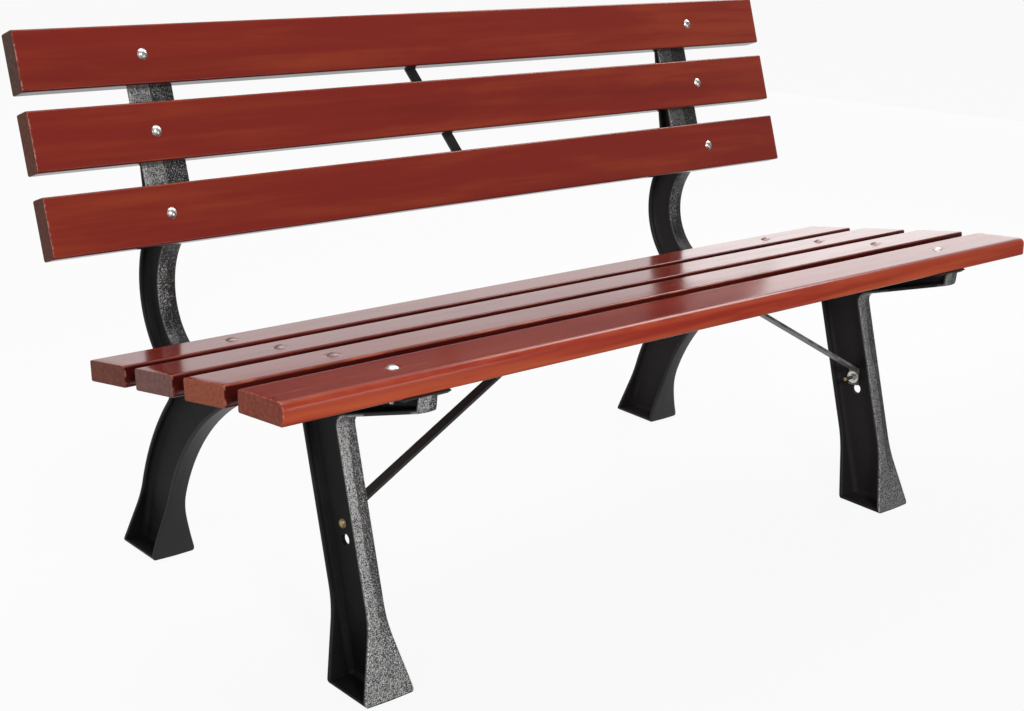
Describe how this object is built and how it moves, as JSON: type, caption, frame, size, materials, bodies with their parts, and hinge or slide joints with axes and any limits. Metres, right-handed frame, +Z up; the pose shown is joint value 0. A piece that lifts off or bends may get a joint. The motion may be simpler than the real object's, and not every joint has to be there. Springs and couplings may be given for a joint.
{
  "type": "garden bench",
  "caption": "Slatted wooden garden bench with a leaning back, on flanged cast end frames with flared feet, stiffened by slanting flat steel braces.",
  "frame": {"origin": "on the ground under the middle of the bench's bounding box", "axes": "+X along the bench, +Y from the seat's front edge towards the back, +Z up"},
  "size_m": [1.5, 0.6292, 0.7455],
  "materials": {
    "timber": "red-brown glaze, glossy, with open grain",
    "cast_frame": "black enamel, satin on the webs and sparkling hammered silver-black on the flanges",
    "zinc_steel": "bright zinc plate",
    "yellow_zinc_steel": "yellow passivated zinc plate",
    "black_steel": "satin black paint"
  },
  "bodies": {
    "root": {"end_frame_left": "cast_frame", "end_frame_right": "cast_frame", "seat_slat_front": "timber", "seat_slat_front_middle": "timber", "seat_slat_rear_middle": "timber", "seat_slat_rear": "timber", "back_slat_bottom": "timber", "back_slat_middle": "timber", "back_slat_top": "timber", "bolts_seat_front": "zinc_steel", "bolts_seat_front_middle": "zinc_steel", "bolts_seat_rear_middle": "zinc_steel", "bolts_seat_rear": "zinc_steel", "bolts_back_bottom": "zinc_steel", "bolts_back_middle": "zinc_steel", "bolts_back_top": "zinc_steel", "washers_seat": "zinc_steel", "washers_back": "zinc_steel", "nuts_seat": "zinc_steel", "nuts_back": "zinc_steel", "brace_left": "black_steel", "brace_right": "black_steel", "brace_leg_screws": "yellow_zinc_steel", "brace_leg_washers": "zinc_steel", "brace_leg_nuts": "zinc_steel", "brace_seat_screws": "zinc_steel", "tie_bar": "black_steel", "tie_bar_screws": "zinc_steel"}
  },
  "joints": []
}
